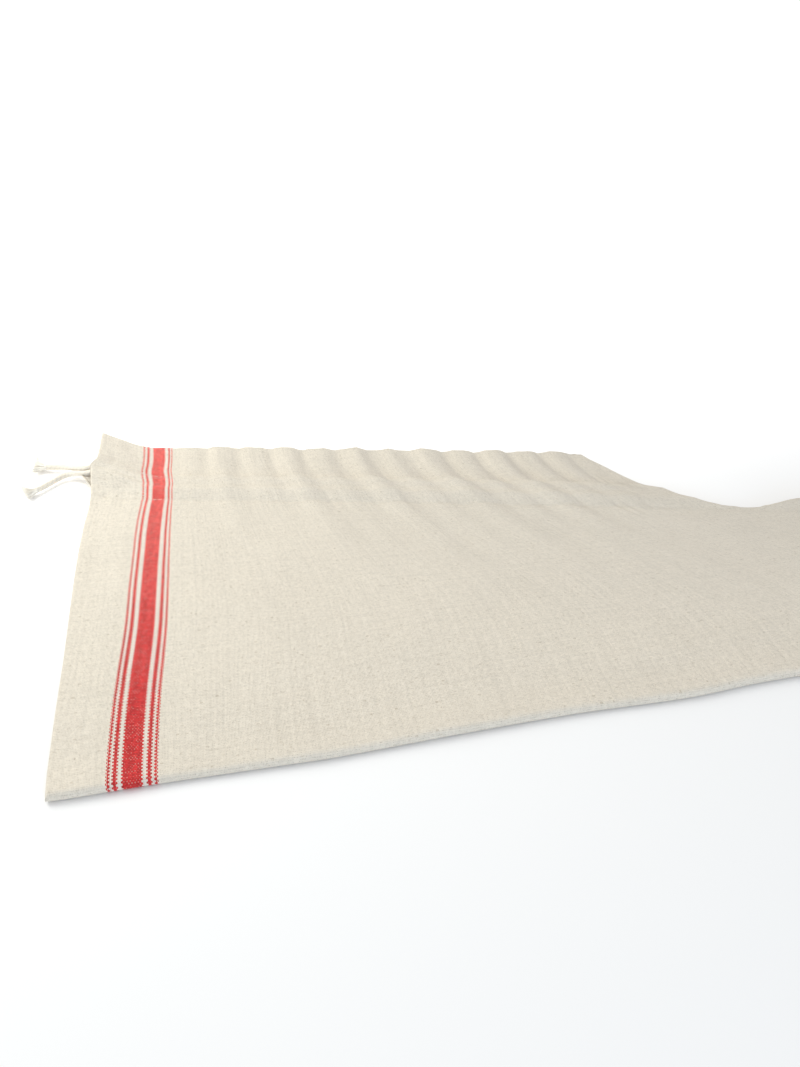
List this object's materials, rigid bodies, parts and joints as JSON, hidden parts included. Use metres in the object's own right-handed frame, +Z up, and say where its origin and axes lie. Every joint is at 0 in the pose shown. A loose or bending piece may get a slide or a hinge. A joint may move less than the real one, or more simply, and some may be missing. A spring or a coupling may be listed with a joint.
{
  "type": "linen drawstring bread bag",
  "caption": "Flat-lying linen drawstring bread bag with a woven red stripe, a gathered casing and header, and two short free cord ends at one seam.",
  "frame": {"origin": "middle of the bag's footprint, on the surface that it lies on, without the cord's free ends", "axes": "+X along the bottom fold towards the right side, +Y from the bottom fold to the mouth, +Z up"},
  "size_m": [0.4964, 0.2854, 0.0153],
  "materials": {
    "linen": "plain-woven natural linen towelling, dry and matt, with a woven red stripe along the left side",
    "cotton_cord": "soft undyed cotton cord, matt"
  },
  "bodies": {
    "root": {"bag": "linen", "cord_in_casing": "cotton_cord", "cord_end_back": "cotton_cord", "cord_end_front": "cotton_cord", "tuft_back": "cotton_cord", "tuft_front": "cotton_cord"}
  },
  "joints": []
}
